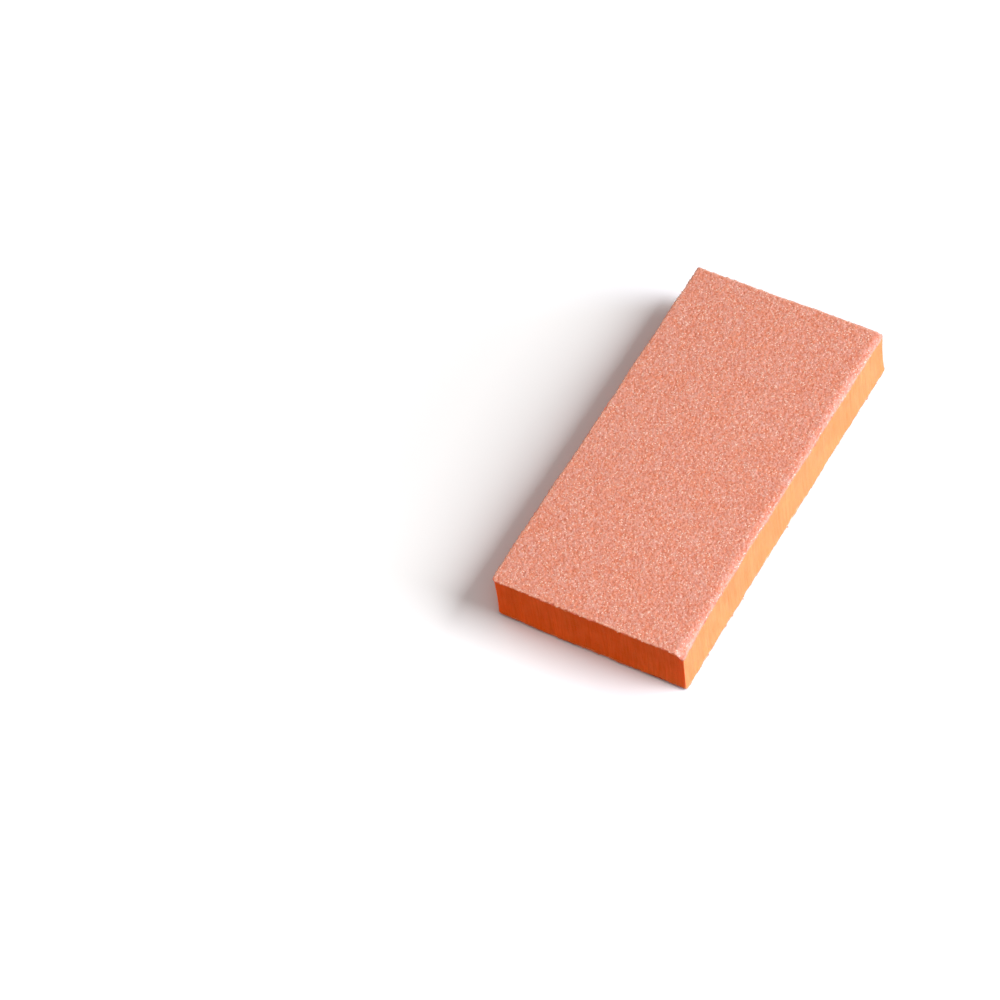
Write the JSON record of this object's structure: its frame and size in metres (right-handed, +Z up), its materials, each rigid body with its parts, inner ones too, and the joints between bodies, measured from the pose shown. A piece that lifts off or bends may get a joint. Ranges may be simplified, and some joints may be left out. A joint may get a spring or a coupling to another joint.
{
  "type": "nail buffer block",
  "caption": "Small flat rectangular hand buffer for nails: a soft orange foam block with a coral abrasive sheet glued to each broad face.",
  "frame": {"origin": "centre of the face that the block rests on, on the plane through the lower grit's tips", "axes": "+Z up through the thickness, +X along the length, +Y across the width"},
  "size_m": [0.07, 0.0342, 0.0098],
  "materials": {
    "foam": "matte",
    "adhesive": "satin",
    "paper": "matte",
    "resin": "satin",
    "grit": "matte"
  },
  "bodies": {
    "root": {"foam_core": "foam", "upper_adhesive_film": "adhesive", "upper_backing_paper": "paper", "upper_resin_bond": "resin", "upper_abrasive_grit": "grit", "lower_adhesive_film": "adhesive", "lower_backing_paper": "paper", "lower_resin_bond": "resin", "lower_abrasive_grit": "grit"}
  },
  "joints": []
}
